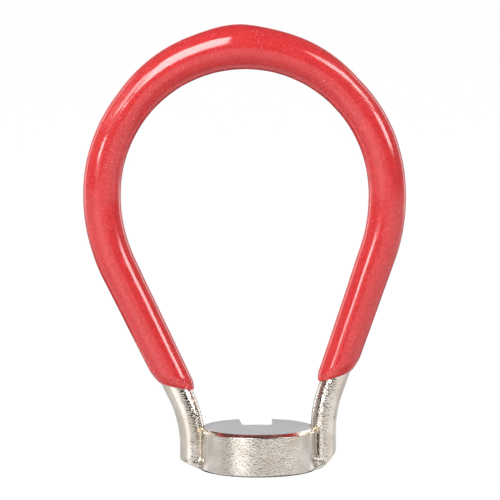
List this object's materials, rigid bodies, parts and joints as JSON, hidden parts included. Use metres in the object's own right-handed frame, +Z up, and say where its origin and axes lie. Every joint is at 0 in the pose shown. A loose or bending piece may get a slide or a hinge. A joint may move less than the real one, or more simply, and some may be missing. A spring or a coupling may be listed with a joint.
{
  "type": "spoke wrench",
  "caption": "Bicycle spoke wrench: a slotted steel disc head carried by a teardrop loop of bent steel rod, the loop dipped in red vinyl.",
  "frame": {"origin": "centre of the head's flat foot, on which the wrench stands upright", "axes": "+Z up from the foot to the top of the loop, +Y the way the slot opens, +X to the right seen from the closed side of the head"},
  "size_m": [0.053, 0.0192, 0.0734],
  "materials": {
    "nickel_plate": "nickel plate over rough steel, with an orange-peel grain",
    "red_vinyl": "glossy dipped vinyl, smooth, with fine pale specks",
    "plated_weld": "nickel-plated weld metal, smoother and warmer than the rod"
  },
  "bodies": {
    "root": {"wrench_head": "nickel_plate", "wire_handle": "nickel_plate", "vinyl_grip": "red_vinyl", "weld_left_upper": "plated_weld", "weld_left_lower": "plated_weld", "weld_right_upper": "plated_weld", "weld_right_lower": "plated_weld"}
  },
  "joints": []
}
